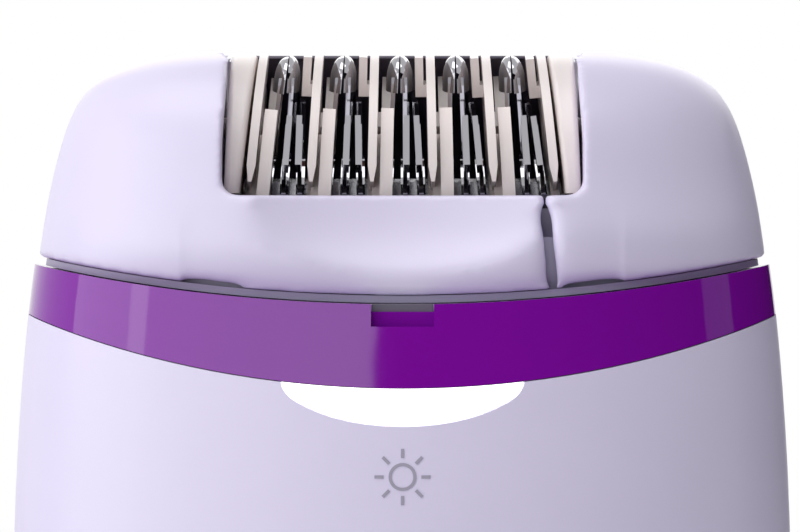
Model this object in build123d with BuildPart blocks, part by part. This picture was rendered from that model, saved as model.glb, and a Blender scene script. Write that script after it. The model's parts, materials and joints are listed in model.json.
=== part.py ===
"""Corded epilator: a lift-off epilating head with 21 leaning rotating discs on a hand-held body.

Frame: millimetres, +Z up, +X to the right, the front faces -Y, the origin is the centre of the flat base.
Places along the height are written as depths below the top, because the seams and the drive hang from there.
"""

import os
from math import acos, cos, degrees, pi, radians, sin, tan

from build123d import *

# ---------------------------------------------------------------- outer form
HEIGHT = 135.0  # from the base to the top of the head
WALL = 1.8  # moulded wall of the shells
SQUARENESS = 2.5  # exponent of the rounded cross-section
OUTLINE_STEPS = 28
# depth below the top, half width, half depth
HEAD_FORM = [
    (0.0, 18.0, 4.4),
    (0.4, 19.9, 6.6),
    (1.1, 22.7, 8.8),
    (2.4, 25.3, 11.0),
    (4.3, 27.0, 13.1),
    (7.5, 28.3, 15.0),
    (12.0, 29.4, 16.6),
    (17.0, 30.2, 17.8),
    (22.0, 30.8, 18.6),
]
BODY_FORM = [
    (16.0, 30.3, 17.9),
    (22.0, 31.1, 18.8),
    (32.0, 31.9, 20.0),
    (45.0, 32.3, 20.8),
    (60.0, 31.7, 21.0),
    (80.0, 29.0, 20.0),
    (100.0, 25.7, 18.1),
    (117.0, 23.1, 16.2),
    (128.0, 21.0, 14.4),
    (133.0, 18.7, 12.2),
    (135.0, 15.5, 9.6),
]
FAR = 36.0  # reaches past every side of the object

# ---------------------------------------------------------------- seams: depth in the middle, depth at the side
SEAM_REACH = 30.5
HEAD_EDGE = (20.1, 16.85)  # lower edge of the head, above its recessed neck
HEAD_SEAM = (20.75, 17.5)
BAND_TOP = (20.85, 17.6)
BAND_BOTTOM = (27.6, 21.9)
SHELL_TOP = (27.68, 21.98)
NECK = 0.65  # how far the neck is drawn in
BAND_WALL = 1.5
SPIGOT = (1.6, 2.8)  # inset of the shells' ring behind the band

# ---------------------------------------------------------------- head
AXLE_DEPTH = 11.8
WINDOW_TOP, WINDOW_LOW = 14.3, 14.75  # half widths of the window
WINDOW_CORNER = 1.3
SILL_DEPTH = 12.0
WINDOW_WALL = 1.45  # wall beside the window
ROTOR_ROOM = 12.3  # radius left free round the rotor
TUB = (12.15, 13.15)  # inner and outer radius of the tub below the rotor
TUB_TOP = 13.0
EAR_R = 3.0
HEAD_SCREW_X, HEAD_BOSS_R, HEAD_PILOT_R = 24.5, 2.3, 0.9
EAR = (14.85, 16.0)  # the frame's end walls
WING = (15.4, 16.7)  # depths of the frame's wings
SCOOP = (18.3, 7.6, 10.4)  # half axes of the scoop below the window
SCOOP_Y, SCOOP_DEPTH = -21.2, 9.4
APRON = 1.5  # wall behind the scoop
COVER_X, COVER_LEAN = 11.5, 5.5  # the side cover's seam, at the sill, and its lean in degrees
GROOVE = (0.55, 0.8)  # width and depth of the groove along that seam
FIT = 0.06  # gap between parts that only face each other

# ---------------------------------------------------------------- disc pack
ROTOR_R = 11.75
GROUPS = 5
GROUP_PITCH = 5.04
PACK_HALF = GROUPS * GROUP_PITCH / 2
LEFT_AT, MIDDLE_AT, RIGHT_AT = 1.35, 2.75, 4.10  # a group's steel discs, measured from its spacer
FAN = 5.5  # degrees by which the outermost discs lean inwards at the top
PINCH = 2.2  # extra lean of the two discs that close on a middle disc
CLOSED_GAP = 0.08
PHASE = 82.0  # degrees above the front at which the closed tips stand
HALF_STEP = 60.0  # from a closed pair of tips to the next pair round the rim
ARMS = 3  # arms of each kind round a disc
SHAFT, BORE = 2.6, 3.2  # sides of the square shaft and of the discs' square holes
HUB_R, HUB_T = 3.4, 0.7
RING_R = 5.0
SHEET = 0.36
LOBE = (1.0, 2.2, 2.9)  # half width, half length round the rim, height of a rounded tip
PAD = (0.46, 2.2, 1.7)  # thickness, half length round the rim, height of a flat tip
TIP_R = 11.68
FIN = 0.72  # thickness of the spacers
NIB = (0.68, 1.6, 8.4)  # thickness, half length and inner radius
BLOCK = (1.04, 20.3, 6.5, 11.3)  # thickness, half angle, inner and outer radius
BLOCK_DROP = 3.7  # degrees by which a block sits lower than the flat tips beside it
END_PLATE_INNER = (12.0, 13.32)  # its inner face's distance from the middle at the top and at the axle
END_PLATE_OUTER = (14.2, 14.62)  # the same for its outer face
END_PLATE_R = 11.7
PEG_R, PEG_UP, PEG_OUT = 0.8, 5.5, 5.0
JOURNAL_R = 1.25

# ---------------------------------------------------------------- drive
HEAD_MODULE, MOTOR_MODULE = 0.6, 0.5
ROTOR_TEETH, TRANSFER_TEETH, OUTPUT_TEETH = 28, 20, 18
WHEEL_TEETH, PINION_TEETH = 36, 10
BACKLASH = 0.1
ADDENDUM, DEDENDUM = 0.75, 1.2  # in modules
GEAR_X, GEAR_W = 18.6, 2.4
WHEEL_X, WHEEL_W = 14.4, 2.0
TRANSFER_DEPTH = AXLE_DEPTH + HEAD_MODULE * (ROTOR_TEETH + TRANSFER_TEETH) / 2
OUTPUT_DEPTH = TRANSFER_DEPTH + HEAD_MODULE * (TRANSFER_TEETH + OUTPUT_TEETH) / 2
MOTOR_DEPTH = OUTPUT_DEPTH + MOTOR_MODULE * (WHEEL_TEETH + PINION_TEETH) / 2
PIN_R = 1.0
RUNNING = 0.04  # radial clearance of shafts in their bushes
BUSH_R = 2.0
MOTOR_SHAFT_R = 0.75
INNER_WALL, MIDDLE_WALL, OUTER_WALL = (11.6, 12.8), (16.2, 17.0), (20.3, 21.5)
MOTOR_R, MOTOR_FACE, MOTOR_BACK = 12.0, 11.5, -13.5

# ---------------------------------------------------------------- body fittings
PLATE = (27.2, 28.6)  # depths of the chassis plate
LENS_WALL = 1.5
LENS_EDGE = [(-9.8, 25.0), (-9.8, 27.0), (-9.35, 28.0), (-8.2, 28.85), (-4.9, 30.1), (0.0, 30.65)]
NOTCH = (2.55, 1.9, 1.0, 0.7)  # half width, height, depth and height of the slot above its floor
SWITCH_DEPTH, SWITCH_Y, SWITCH_SLOPE = 71.0, -20.62, 2.6
TRACK = (9.6, 25.0, 0.9)  # width, length and depth of the switch's track
KNOB = (8.8, 14.0, 1.2)
STEM = (2.4, 4.0, 5.6)  # width, length along the travel, reach
SWITCH_TRAVEL = 8.0
BOARD_Y, BOARD_T = -10.5, 1.6
BOARD_DEPTHS = (63.0, 98.0)
BUTTON_DEPTH, BUTTON = 34.5, (16.0, 7.0)
BUTTON_BACK = 17.4
SPRING_Y = (11.9, 16.1)
POSTS = [(-17.5, 62.0), (17.5, 62.0), (-14.5, 106.0), (14.5, 106.0)]  # x and depth of the body screws
SPLIT = 0.1  # gap between the front and rear shells
INLET = (8.6, 4.8, 7.0)  # width, depth and height of the recess for the plug
SOCKET = (12.0, 8.0)
INLET_PIN = (0.75, 2.1, 6.0)  # radius, half spacing and free length of its pins
PIN_FOOT = 0.95  # radius of a pin's foot in the socket


def z_at(depth):
    return HEIGHT - depth


AXLE_Z = z_at(AXLE_DEPTH)


def save(part, name):
    part.label = name
    export_step(part, f"parts/{name}.step")


# ================================================================ shared shapes
def outline_point(half_width, half_depth, turn):
    """A point of the rounded cross-section, a superellipse."""
    c, s = cos(turn), sin(turn)
    power = 2 / SQUARENESS
    return (
        half_width * abs(c) ** power * (1 if c >= 0 else -1),
        half_depth * abs(s) ** power * (1 if s >= 0 else -1),
    )


def form(stations, inset=0.0):
    """The solid through the cross-sections, drawn in by inset on its sides and at its closed end."""
    first, last = stations[0][0], stations[-1][0]
    top_closed = first == 0
    with BuildPart() as solid:
        for depth, half_width, half_depth in stations:
            share = (depth - first) / (last - first)
            drop = inset * (1 - share) if top_closed else -inset * share
            with BuildSketch(Plane.XY.offset(z_at(depth + drop))):
                with BuildLine():
                    Spline(
                        *[
                            outline_point(
                                half_width - inset,
                                half_depth - inset,
                                2 * pi * (k + 0.5) / OUTLINE_STEPS,
                            )
                            for k in range(OUTLINE_STEPS)
                        ],
                        periodic=True,
                    )
                make_face()
        loft()
    return solid.part


def head_form(inset=0.0):
    return form(HEAD_FORM, inset)


def body_form(inset=0.0):
    return form(BODY_FORM, inset)


def seam_arc(depths):
    """A seam in the front view: an arc through its middle and side depths, reaching past the sides."""
    middle, side = depths
    rise = middle - side
    radius = (SEAM_REACH**2 + rise**2) / (2 * rise)
    reach = 90 - degrees(acos(FAR / radius))
    return CenterArc((0, z_at(middle) + radius), radius, 270 - reach, 2 * reach)


def between(top, bottom):
    """Everything between two seams. None leaves that end open."""
    with BuildPart() as solid:
        with BuildSketch(Plane.XZ):
            with BuildLine():
                low = seam_arc(bottom) if bottom else Line((-FAR, -5), (FAR, -5))
                high = seam_arc(top) if top else Line((-FAR, z_at(-5)), (FAR, z_at(-5)))
                Line(low @ 0, high @ 0)
                Line(low @ 1, high @ 1)
            make_face()
        extrude(amount=FAR, both=True)
    return solid.part


def layer(depths, half_width=FAR, half_depth=FAR, centre=(0, 0)):
    """A box between two depths."""
    top, bottom = depths
    with BuildPart(Plane.XY.offset(z_at(bottom))) as solid:
        with Locations((centre[0], centre[1], 0)):
            Box(
                2 * half_width,
                2 * half_depth,
                bottom - top,
                align=(Align.CENTER, Align.CENTER, Align.MIN),
            )
    return solid.part


def across(x_span, radius, depth, y=0.0):
    """A cylinder along X at a depth."""
    low, high = x_span
    with BuildPart() as solid:
        with BuildSketch(Plane.YZ.offset(low)):
            with Locations((y, z_at(depth))):
                Circle(radius)
        extrude(amount=high - low)
    return solid.part


def wall_across(x_span, half_depth, depths, y=0.0):
    """A flat wall square to X between two depths."""
    low, high = x_span
    return layer(depths, (high - low) / 2, half_depth, ((low + high) / 2, y))


def upright(radius, depths, centre=(0, 0)):
    """A vertical cylinder between two depths."""
    top, bottom = depths
    with BuildPart(Plane.XY.offset(z_at(bottom))) as solid:
        with Locations((centre[0], centre[1], 0)):
            Cylinder(radius, bottom - top, align=(Align.CENTER, Align.CENTER, Align.MIN))
    return solid.part


# ================================================================ head shells
head_outer = head_form()
head_inner = head_form(WALL)


def scoop(grow=0.0):
    """The hollows swept out of the front and of the back below the window, enlarged by grow."""
    with BuildPart() as ball:
        Sphere(1)
        scale(by=tuple(half + grow for half in SCOOP))
    with BuildPart() as both:
        add(Location((0, SCOOP_Y, z_at(SCOOP_DEPTH))) * ball.part)
        mirror(about=Plane.XZ)
    return both.part


def window():
    """The opening for the rotor, cut through from front to back."""
    with BuildPart() as opening:
        with BuildSketch(Plane.XZ):
            with BuildLine():
                Polyline(
                    (-WINDOW_TOP, z_at(-2)),
                    (WINDOW_TOP, z_at(-2)),
                    (WINDOW_TOP, z_at(1)),
                    (WINDOW_LOW, z_at(8)),
                    (WINDOW_LOW, z_at(SILL_DEPTH)),
                    (-WINDOW_LOW, z_at(SILL_DEPTH)),
                    (-WINDOW_LOW, z_at(8)),
                    (-WINDOW_TOP, z_at(1)),
                    close=True,
                )
            make_face()
        extrude(amount=FAR, both=True)
        lower = opening.edges().filter_by(Axis.Y).group_by(Axis.Z)[0]
        fillet(lower, WINDOW_CORNER)
    return opening.part


def seam_x(depth):
    """Where the side cover's leaning seam is at a depth."""
    return COVER_X + (depth - SILL_DEPTH) * tan(radians(COVER_LEAN))


def cover_side(offset=0.0):
    """Everything on the side cover's side of its seam, moved right by offset."""
    top, bottom = -5.0, 45.0
    with BuildPart() as side:
        with BuildSketch(Plane.XZ):
            with BuildLine():
                Polyline(
                    (seam_x(top) + offset, z_at(top)),
                    (FAR, z_at(top)),
                    (FAR, z_at(bottom)),
                    (seam_x(bottom) + offset, z_at(bottom)),
                    close=True,
                )
            make_face()
        extrude(amount=FAR, both=True)
    return side.part


def seam_groove():
    """The groove along the side cover's seam, below the window, in front and behind."""
    width, deep = GROOVE
    with BuildPart() as groove:
        with BuildSketch(Plane.YZ.offset(COVER_X - 3)):
            with BuildLine():
                skin = [
                    (-outline_depth(half_width, half_depth, seam_x(depth)) + deep, z_at(depth))
                    for depth, half_width, half_depth in HEAD_FORM[-4:]
                ]
                Polyline(*skin, (-FAR, skin[-1][1]), (-FAR, skin[0][1]), close=True)
            make_face()
        extrude(amount=6)
        mirror(about=Plane.XZ)
        add(cover_side(-width / 2), mode=Mode.INTERSECT)
        add(cover_side(width / 2), mode=Mode.SUBTRACT)
    return groove.part


def outline_depth(half_width, half_depth, x):
    """Half depth of the rounded cross-section at a place across it."""
    return half_depth * (1 - abs(x / half_width) ** SQUARENESS) ** (1 / SQUARENESS)


def axle_slot(radius):
    """A slot with a round end that drops over the axle from above."""
    with BuildPart() as slot:
        with BuildSketch(Plane.YZ.offset(-FAR)):
            with Locations((0, AXLE_Z)):
                Circle(radius)
                Rectangle(2 * radius, 12, align=(Align.CENTER, Align.MAX))
        extrude(amount=2 * FAR)
    return slot.part


def head_cavity():
    """The space inside the shells, less the walls beside the window, behind the scoops and the bosses."""
    reach = WINDOW_LOW + WINDOW_WALL
    with BuildPart() as cavity:
        add(head_inner)
        for side in (-1, 1):
            low, high = sorted((side * (WINDOW_TOP - 0.6), side * reach))
            add(wall_across((low, high), FAR, (-1, TUB_TOP)), mode=Mode.SUBTRACT)
            add(upright(HEAD_BOSS_R, (-1, WING[0] - FIT), (side * HEAD_SCREW_X, 0)), mode=Mode.SUBTRACT)
        add(scoop(APRON) & layer((8, 24), reach), mode=Mode.SUBTRACT)
    return cavity.part


def head_hollows():
    """Room inside the shells for the rotor, the tub, the frame's ears, the pegs and the screws."""
    reach = WINDOW_LOW + WINDOW_WALL + 0.1
    with BuildPart() as hollow:
        add(across((-WINDOW_LOW, WINDOW_LOW), ROTOR_ROOM, AXLE_DEPTH))
        add(across((-reach, reach), TUB[1] + 0.15, AXLE_DEPTH) & layer((TUB_TOP, 40), reach))
        add(axle_slot(EAR_R + 0.1) & layer((-5, 40), reach))
        for side in (-1, 1):
            add(upright(HEAD_PILOT_R, (6.5, 40), (side * HEAD_SCREW_X, 0)))
        with Locations(*[(0, side * PEG_OUT, AXLE_Z + PEG_UP) for side in (-1, 1)]):
            Cylinder(PEG_R + 0.05, 2 * reach, rotation=(0, 90, 0))
    return hollow.part


def head_shells():
    with BuildPart() as shell:
        add(head_outer)
        add(head_cavity(), mode=Mode.SUBTRACT)
        add(between(None, HEAD_EDGE), mode=Mode.INTERSECT)
        add(window(), mode=Mode.SUBTRACT)
        add(scoop(), mode=Mode.SUBTRACT)
        add(head_hollows(), mode=Mode.SUBTRACT)
        add(seam_groove(), mode=Mode.SUBTRACT)
    with BuildPart() as housing:
        add(shell.part)
        add(cover_side(-FIT / 2), mode=Mode.SUBTRACT)
    save(housing.part, "head_housing")
    with BuildPart() as cover:
        add(shell.part)
        add(cover_side(FIT / 2), mode=Mode.INTERSECT)
    save(cover.part, "head_side_cover")


# ================================================================ head frame, end plates and shaft
def head_frame():
    """The tub under the rotor with its bearing ears, and the plate and rim that close the shells below."""
    inner_r, outer_r = TUB
    low, high = EAR
    with BuildPart() as frame:
        add(across((-high, high), outer_r, AXLE_DEPTH) & layer((TUB_TOP + FIT, 40)))
        add(wing())
        add(across((-low, low), inner_r, AXLE_DEPTH), mode=Mode.SUBTRACT)
        for side in (-1, 1):
            span = sorted((side * low, side * high))
            add(across(span, EAR_R, AXLE_DEPTH))
            add(wall_across(span, EAR_R, (AXLE_DEPTH, TUB_TOP + 2)))
            add(upright(1.15, (10, 30), (side * HEAD_SCREW_X, 0)), mode=Mode.SUBTRACT)
        add(across((-FAR, FAR), BUSH_R, AXLE_DEPTH), mode=Mode.SUBTRACT)
        with Locations((0, 13.5, z_at(WING[1]))):
            Box(8, 1.2, 14.6, align=(Align.CENTER, Align.CENTER, Align.MAX))
        with Locations((0, 14.35, z_at(WING[1] + 14.6))):
            Box(8, 0.6, 1.4, align=(Align.CENTER, Align.CENTER, Align.MIN))
    save(frame.part, "head_frame")


def wing():
    """The plate that the shells are screwed to, open for the rotor gear, and its rim below their edge."""
    with BuildPart() as room:
        add(head_form(WALL + 1.2))
        add(layer((0, WING[1])), mode=Mode.SUBTRACT)
    with BuildPart() as plate:
        add(head_form(WALL + FIT))
        add(layer((0, WING[0])), mode=Mode.SUBTRACT)
        add(between(None, (HEAD_SEAM[0] - 0.1, HEAD_SEAM[1] - 0.1)), mode=Mode.INTERSECT)
        add(head_form(NECK) & between((HEAD_EDGE[0] + FIT, HEAD_EDGE[1] + FIT), HEAD_SEAM))
        add(room.part, mode=Mode.SUBTRACT)
        with Locations((GEAR_X, 0, z_at(WING[0]))):
            Box(GEAR_W + 1.0, 19.4, 6, mode=Mode.SUBTRACT)
        add(scoop(APRON + FIT) & layer((5, WING[1] + 2), WINDOW_LOW + WINDOW_WALL + 1), mode=Mode.SUBTRACT)
    return plate.part


def end_plates():
    """The moulded half-moons that lean in over the outer discs and hold the pack closed at the top."""
    for side, name in ((-1, "left"), (1, "right")):
        with BuildPart() as plate:
            with BuildSketch(Plane.XZ):
                with BuildLine():
                    Polyline(
                        (side * END_PLATE_INNER[1], AXLE_Z),
                        (side * END_PLATE_INNER[0], AXLE_Z + END_PLATE_R),
                        (side * END_PLATE_OUTER[0], AXLE_Z + END_PLATE_R),
                        (side * END_PLATE_OUTER[1], AXLE_Z),
                        close=True,
                    )
                make_face()
            extrude(amount=END_PLATE_R, both=True)
            add(across((-FAR, FAR), END_PLATE_R, AXLE_DEPTH), mode=Mode.INTERSECT)
            fillet(plate.edges().filter_by(GeomType.ELLIPSE), 0.45)
            add(across((-FAR, FAR), 2.4, AXLE_DEPTH), mode=Mode.SUBTRACT)
            with Locations(*[(side * 14.6, out, AXLE_Z + PEG_UP) for out in (-PEG_OUT, PEG_OUT)]):
                Cylinder(PEG_R, 2.2, rotation=(0, 90, 0))
        save(plate.part, f"end_plate_{name}")


def rotor_shaft():
    """A square shaft with round journals that carries all the discs."""
    square = PACK_HALF + 0.5
    with BuildPart() as shaft:
        with Locations((0, 0, AXLE_Z)):
            Box(2 * square, SHAFT, SHAFT)
        chamfer(shaft.edges().filter_by(Axis.X), 0.25)
        add(across((-EAR[1] - 0.2, GEAR_X + GEAR_W / 2 + 0.3), JOURNAL_R, AXLE_DEPTH))
        ends = shaft.edges().filter_by(GeomType.CIRCLE)
        chamfer([ends.sort_by(Axis.X)[0], ends.sort_by(Axis.X)[-1]], 0.2)
    save(shaft.part, "rotor_shaft")


def bushes(spans, bore, outer, depth, name):
    with BuildPart() as pair:
        for low, high in spans:
            with BuildSketch(Plane.YZ.offset(low)):
                with Locations((0, z_at(depth))):
                    Circle(outer)
                    Circle(bore, mode=Mode.SUBTRACT)
            extrude(amount=high - low)
    save(pair.part, name)


# ================================================================ disc pack
def lean_at(x):
    """Lean of the pack, in degrees toward +X at the top, at a place along the axle."""
    return -FAN * x / PACK_HALF


def closed_offset(spacing, thickness_share=0.0):
    """How far a tip's face stands off its own disc so that it meets the facing tip at the top."""
    closing = TIP_R * (tan(radians(PINCH)) + tan(radians(FAN / PACK_HALF * spacing)))
    return (spacing - closing - CLOSED_GAP) / 2 - thickness_share


def rim_place(radius, angle, x=0.0):
    """Axes at the rim: X along the axle, Z outward, for an angle above the front."""
    a = radians(angle)
    return Plane(
        origin=(x, -radius * cos(a), radius * sin(a)),
        x_dir=(1, 0, 0),
        z_dir=(0, -cos(a), sin(a)),
    )


def arm_angles(odd):
    first = PHASE - HALF_STEP if odd else PHASE
    return [first + 360 / ARMS * k for k in range(ARMS)]


def lobe(side):
    """Half a bullet: flat on the pinch plane and rounded on the side away from the facing tip."""
    half_width, half_length, height = LOBE
    straight = height - 1.7 * half_width
    with BuildPart() as bullet:
        with BuildSketch(Plane.XZ):
            with BuildLine():
                Line((0, 0), (half_width, 0))
                Line((half_width, 0), (half_width, straight))
                EllipticalCenterArc((0, straight), half_width, 1.7 * half_width, start_angle=0, arc_size=90)
                Line((0, height), (0, 0))
            make_face()
        revolve(axis=Axis.Z)
        scale(by=(1, half_length / half_width, 1))
        split(bisect_by=Plane.YZ, keep=Keep.TOP if side > 0 else Keep.BOTTOM)
    return bullet.part


def arm(angle):
    """A flat arm that widens to its tip, at an angle above the front."""
    reach = TIP_R - 1.6
    with BuildSketch() as shape:
        with BuildLine():
            Polyline((0, -1.5), (reach, 0.1 - PAD[1]), (reach, PAD[1] - 0.1), (0, 1.5), close=True)
        make_face()
    return Rot(0, 0, 180 - angle) * shape.sketch


def web(odd_arms, even_arms):
    """A steel disc's flat web: a ring with its arms, and a thicker hub with a square hole."""
    angles = (arm_angles(True) if odd_arms else []) + (arm_angles(False) if even_arms else [])
    with BuildPart() as plate:
        with BuildSketch(Plane.YZ):
            Circle(RING_R)
            for angle in angles:
                add(arm(angle))
        extrude(amount=SHEET / 2, both=True)
        with BuildSketch(Plane.YZ):
            Circle(HUB_R)
        extrude(amount=HUB_T / 2, both=True)
        with BuildSketch(Plane.YZ):
            Rectangle(BORE, BORE)
        extrude(amount=2, both=True, mode=Mode.SUBTRACT)
    return plate.part


def steel_disc(lobes=0, pads=0, lobe_spacing=0.0, pad_spacing=0.0):
    """A steel disc. lobes and pads say toward which side its tips close, 0 for none."""
    with BuildPart() as disc:
        add(web(pads != 0, lobes != 0))
        if lobes:
            face = lobes * closed_offset(lobe_spacing)
            for angle in arm_angles(False):
                add(rim_place(TIP_R - LOBE[2], angle, face).location * lobe(-lobes))
        if pads:
            middle = pads * closed_offset(pad_spacing, PAD[0] / 2)
            for angle in arm_angles(True):
                with Locations(rim_place(TIP_R - PAD[2], angle, middle)):
                    Box(PAD[0], 2 * PAD[1], PAD[2], align=(Align.CENTER, Align.CENTER, Align.MIN))
    return disc.part


def spacer_disc(nibs, blocks):
    """A moulded spacer: three fins, with nibs on the left and cleaning blocks on the right."""
    first, last = -17.0 + PHASE - HALF_STEP, PHASE + 23.0
    thickness, half_angle, low, high = BLOCK
    with BuildPart() as disc:
        with BuildSketch(Plane.YZ):
            Circle(ROTOR_R)
            Rectangle(BORE, BORE, mode=Mode.SUBTRACT)
            for k in range(ARMS):
                start = 180 - (first + 360 / ARMS * k)
                stop = 180 - (last - 360 / ARMS + 360 / ARMS * k)
                with BuildLine():
                    Polyline(
                        polar(6.0, (start + stop) / 2 - 8),
                        polar(14.0, start),
                        polar(14.0, stop),
                        polar(6.0, (start + stop) / 2 + 8),
                        close=True,
                    )
                make_face(mode=Mode.SUBTRACT)
        extrude(amount=FIN / 2, both=True)
        for k in range(ARMS):
            for angle, inward in ((first + 120 * k, 1), (last + 120 * k, -1)):
                add(end_taper(angle, inward), mode=Mode.SUBTRACT)
        if nibs:
            for angle in arm_angles(False):
                with Locations(rim_place(NIB[2], angle, RIGHT_AT - GROUP_PITCH)):
                    Box(NIB[0], 2 * NIB[1], TIP_R - NIB[2], align=(Align.CENTER, Align.CENTER, Align.MIN))
                with Locations(rim_place(NIB[2], angle, (RIGHT_AT - GROUP_PITCH) / 2)):
                    Box(GROUP_PITCH - RIGHT_AT, 2 * NIB[1], 1.0, align=(Align.CENTER, Align.CENTER, Align.MIN))
        if blocks:
            for angle in arm_angles(True):
                with BuildSketch(Plane.YZ.offset(0.65)):
                    add(sector(low, high, angle - BLOCK_DROP, half_angle))
                extrude(amount=thickness)
                with BuildSketch(Plane.YZ):
                    add(sector(low, low + 1.4, angle - BLOCK_DROP, half_angle))
                extrude(amount=0.8)
    return disc.part


def polar(radius, degrees_from_back):
    a = radians(degrees_from_back)
    return (radius * cos(a), radius * sin(a))


def sector(low, high, angle, half_angle):
    """A ring sector about an angle above the front."""
    start, stop = 180 - angle - half_angle, 180 - angle + half_angle
    with BuildSketch() as shape:
        with BuildLine():
            CenterArc((0, 0), low, start, stop - start)
            CenterArc((0, 0), high, start, stop - start)
            Line(polar(low, start), polar(high, start))
            Line(polar(low, stop), polar(high, stop))
        make_face()
    return shape.sketch


def end_taper(angle, inward):
    """Two wedges that thin a fin toward its end at an angle above the front."""
    with BuildPart() as wedges:
        with BuildSketch(rim_place(5.5, angle)):
            for side in (-1, 1):
                with BuildLine():
                    Polyline(
                        (side * 0.12, -inward * 0.2),
                        (side * (FIN / 2 + 0.1), inward * 1.9),
                        (side * (FIN / 2 + 0.5), -inward * 0.2),
                        close=True,
                    )
                make_face()
        extrude(amount=8)
    return wedges.part


def disc_pack():
    """The 21 discs, each leaning in its own plane on the shaft."""
    left = steel_disc(lobes=1, lobe_spacing=MIDDLE_AT - LEFT_AT)
    middle = steel_disc(-1, 1, MIDDLE_AT - LEFT_AT, RIGHT_AT - MIDDLE_AT)
    right = steel_disc(pads=-1, pad_spacing=RIGHT_AT - MIDDLE_AT)
    for k in range(GROUPS + 1):
        x = -PACK_HALF + GROUP_PITCH * k
        seat(spacer_disc(k > 0, k < GROUPS), x, lean_at(x), f"spacer_disc_{k + 1}")
        if k == GROUPS:
            break
        for part, offset, pinch, name in (
            (left, LEFT_AT, PINCH, "left"),
            (middle, MIDDLE_AT, 0, "middle"),
            (right, RIGHT_AT, -PINCH, "right"),
        ):
            seat(part, x + offset, lean_at(x + offset) + pinch, f"{name}_tweezer_disc_{k + 1}")


def seat(part, x, lean, name):
    save(Location((x, 0, AXLE_Z), (0, lean, 0)) * part, name)


# ================================================================ gears
def gear_outline(module, teeth, tooth_up):
    """Corners of a spur gear with involute flanks, with a tooth or a gap pointing up."""
    pitch_r = module * teeth / 2
    base_r = pitch_r * cos(radians(20))
    root_r = pitch_r - DEDENDUM * module
    tip_r = pitch_r + ADDENDUM * module
    half_tooth = (pi * module / 2 - BACKLASH) / (2 * pitch_r) + tan(radians(20)) - radians(20)
    flank = []
    for radius in (root_r, max(base_r, root_r + 0.05), (base_r + pitch_r) / 2, pitch_r, (pitch_r + tip_r) / 2, tip_r):
        roll = acos(min(1, base_r / radius))
        flank.append((radius, half_tooth - (tan(roll) - roll)))
    corners = []
    for k in range(teeth):
        middle = pi / 2 + 2 * pi * (k + (0 if tooth_up else 0.5)) / teeth
        for radius, half in flank:
            corners.append((radius * cos(middle - half), radius * sin(middle - half)))
        for radius, half in reversed(flank):
            corners.append((radius * cos(middle + half), radius * sin(middle + half)))
    return corners


def gear(module, teeth, x, width, depth, bore, tooth_up=True, hub=0.0):
    """A spur gear on a shaft along X, recessed between rim and hub."""
    rim, hub_r = module * teeth / 2 - 1.3 * module - 1.0, bore + 1.2
    with BuildPart() as wheel:
        with BuildSketch(Plane.YZ):
            with BuildLine():
                Polyline(*gear_outline(module, teeth, tooth_up), close=True)
            make_face()
        extrude(amount=width / 2, both=True)
        if rim - hub_r > 1.5:
            for side in (-1, 1):
                with BuildSketch(Plane.YZ.offset(side * width / 2)):
                    Circle(rim)
                    Circle(hub_r, mode=Mode.SUBTRACT)
                extrude(amount=-side * width / 4, mode=Mode.SUBTRACT)
        if hub:
            with BuildSketch(Plane.YZ.offset(-width / 2 - hub)):
                Circle(hub_r)
            extrude(amount=hub)
        with BuildSketch(Plane.YZ):
            Circle(bore)
        extrude(amount=width + hub, both=True, mode=Mode.SUBTRACT)
    return Location((x, 0, z_at(depth))) * wheel.part


def gears():
    save(gear(HEAD_MODULE, ROTOR_TEETH, GEAR_X, GEAR_W, AXLE_DEPTH, JOURNAL_R, hub=0.9), "rotor_gear")
    save(
        gear(HEAD_MODULE, TRANSFER_TEETH, GEAR_X, GEAR_W, TRANSFER_DEPTH, PIN_R + RUNNING, tooth_up=False),
        "transfer_gear",
    )
    save(gear(HEAD_MODULE, OUTPUT_TEETH, GEAR_X, GEAR_W, OUTPUT_DEPTH, PIN_R, hub=1.5), "output_gear")
    save(gear(MOTOR_MODULE, WHEEL_TEETH, WHEEL_X, WHEEL_W, OUTPUT_DEPTH, PIN_R), "drive_wheel")
    save(
        gear(MOTOR_MODULE, PINION_TEETH, WHEEL_X, WHEEL_W + 0.4, MOTOR_DEPTH, MOTOR_SHAFT_R, tooth_up=False),
        "motor_pinion",
    )


def screw(length, head_r=1.9, shank_r=0.85):
    """A pan-head screw with a cross recess. Its head stands on the XY plane and its shank goes down."""
    with BuildPart() as solid:
        Cylinder(head_r, 1.2, align=(Align.CENTER, Align.CENTER, Align.MIN))
        fillet(solid.edges().group_by(Axis.Z)[-1], 0.5)
        Cylinder(shank_r, length, align=(Align.CENTER, Align.CENTER, Align.MAX))
        chamfer(solid.edges().group_by(Axis.Z)[0], 0.3)
        with Locations((0, 0, 1.2)):
            for turn in (0, 90):
                Box(2.0, 0.5, 1.4, rotation=(0, 0, turn), mode=Mode.SUBTRACT)
    return solid.part


def head_screws():
    with BuildPart() as pair:
        for side in (-1, 1):
            add(Location((side * HEAD_SCREW_X, 0, z_at(WING[1])), (180, 0, 0)) * screw(7.0))
    save(pair.part, "head_screws")


# ================================================================ body shells, band and lens
body_outer = body_form()
body_inner = body_form(WALL)


def lens_outline(grow=0.0):
    """The lens in the front view: upright ends and a long curve below, let out by grow."""
    spread = 1 - grow / LENS_EDGE[0][0]
    points = [(x * spread, z_at(depth + grow)) for x, depth in LENS_EDGE]
    points += [(-x, z) for x, z in reversed(points[:-1])]
    with BuildSketch(Plane.XZ) as shape:
        with BuildLine():
            Line(points[0], points[1])
            Spline(*points[1:-1])
            Line(points[-2], points[-1])
            Line(points[-1], points[0])
        make_face()
    return shape.sketch


def front_block(outline):
    """What lies behind an outline drawn in the front view, in the front wall only."""
    with BuildPart() as block:
        extrude(outline, amount=FAR)
        Box(2 * FAR, 20, 4 * HEIGHT, mode=Mode.SUBTRACT)
    return block.part


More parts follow.
